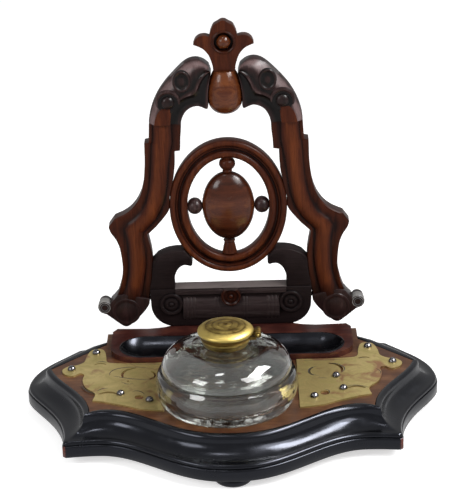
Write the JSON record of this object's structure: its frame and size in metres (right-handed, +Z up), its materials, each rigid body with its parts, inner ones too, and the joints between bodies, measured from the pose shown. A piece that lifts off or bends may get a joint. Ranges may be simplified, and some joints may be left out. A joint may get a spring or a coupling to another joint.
{
  "type": "desk inkstand",
  "caption": "Serpentine wooden desk inkstand with an ebonised moulding, pen trough, domed-lid glass inkwell and pierced carved back panel.",
  "frame": {"origin": "On the table, at the middle of the object's outline: the centre of the bottom of its bounding box, which the feet stand on.", "axes": "+X along the object's width to the writer's right, +Y from the writer to the back panel, +Z up."},
  "size_m": [0.28, 0.196, 0.255],
  "materials": {
    "walnut_plain": "plain sawn walnut, waxed",
    "walnut_board": "polished walnut veneer",
    "walnut_red": "french polished red-brown walnut",
    "walnut_dark": "dark stained walnut, carved and polished",
    "ebonised": "black stained and french polished, glossy",
    "aged_brass": "engraved sheet, aged and tarnished",
    "lid_brass": "turned and lacquered, aged",
    "steel": "domed and dulled",
    "glass": "thick clear pressed glass"
  },
  "bodies": {
    "base": {"base_core": "walnut_plain", "top_board": "walnut_board", "front_moulding": "ebonised", "left_moulding": "ebonised", "right_moulding": "ebonised", "front_foot": "ebonised", "rear_feet": "ebonised", "tray_block": "walnut_board", "pen_trough": "ebonised", "brass_plate_left": "aged_brass", "brass_plate_right": "aged_brass", "studs_left": "steel", "studs_right": "steel", "bottom_rail": "walnut_dark", "rail_screws": "steel", "rail_rosettes": "walnut_dark", "rail_patera": "walnut_red", "left_leg": "walnut_red", "right_leg": "walnut_red", "foot_bosses": "walnut_dark", "left_head": "walnut_dark", "right_head": "walnut_dark", "head_rosettes": "walnut_dark", "left_arm": "walnut_dark", "right_arm": "walnut_dark", "oval_ring": "walnut_red", "oval_boss": "walnut_red", "top_bead": "walnut_dark", "left_bead": "walnut_dark", "right_bead": "walnut_dark", "ring_drop": "walnut_dark", "turned_ball": "walnut_red", "finial": "walnut_red", "finial_button": "walnut_red", "panel_dowels": "walnut_plain", "boss_dowels": "walnut_plain"},
    "inkwell": {"glass_well": "glass", "neck_collar": "lid_brass", "hinge_pin": "lid_brass"},
    "lid": {"lid": "lid_brass"}
  },
  "joints": [
    {"name": "well_lift", "type": "slide", "parent": "base", "child": "inkwell", "axis": [0, 0, 1], "range_m": [0, 0.06]},
    {"name": "lid_hinge", "type": "hinge", "parent": "inkwell", "child": "lid", "pos_m": [0.018, -0.0265, 0.0768], "axis": [0, 1, 0], "range_deg": [0, 105]}
  ]
}
